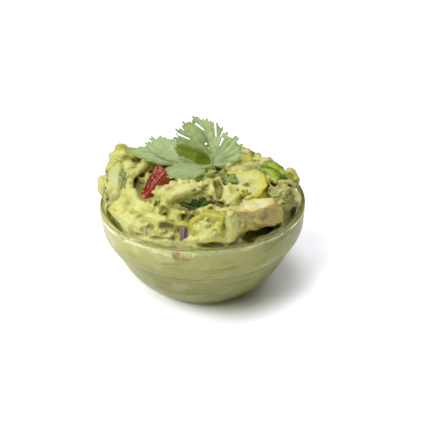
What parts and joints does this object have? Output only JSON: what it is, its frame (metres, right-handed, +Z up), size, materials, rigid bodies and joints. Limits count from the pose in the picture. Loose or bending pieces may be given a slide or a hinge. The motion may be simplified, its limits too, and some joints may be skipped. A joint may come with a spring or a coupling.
{
  "type": "bowl of guacamole",
  "caption": "Small round clear glass stacking bowl heaped with chunky green guacamole, with avocado chunks, tomato and onion pieces and a coriander sprig standing on top.",
  "frame": {"origin": "centre of the bowl's foot, on the surface it stands on", "axes": "+Z up out of the foot through the heap, -Y toward the side that shows the avocado chunks, +X to the right seen from that side"},
  "size_m": [0.105, 0.105, 0.09],
  "materials": {
    "glass": "clear, polished",
    "guacamole": "moist mash",
    "avocado": "moist, waxy",
    "tomato": "wet",
    "onion": "wet",
    "green_pepper": "wet",
    "coriander": "soft leaf",
    "coriander_dark": "wet leaf"
  },
  "bodies": {
    "root": {"bowl": "glass", "guacamole": "guacamole", "avocado_chunk_front": "avocado", "avocado_chunk_right": "avocado", "avocado_slab_middle": "avocado", "avocado_chunk_side": "avocado", "avocado_slice_left": "avocado", "tomato_piece": "tomato", "tomato_piece_low": "tomato", "onion_piece": "onion", "pepper_piece": "green_pepper", "coriander_sprig": "coriander", "coriander_bit_front": "coriander_dark", "coriander_bit_middle": "coriander_dark", "coriander_bit_left": "coriander"}
  },
  "joints": []
}
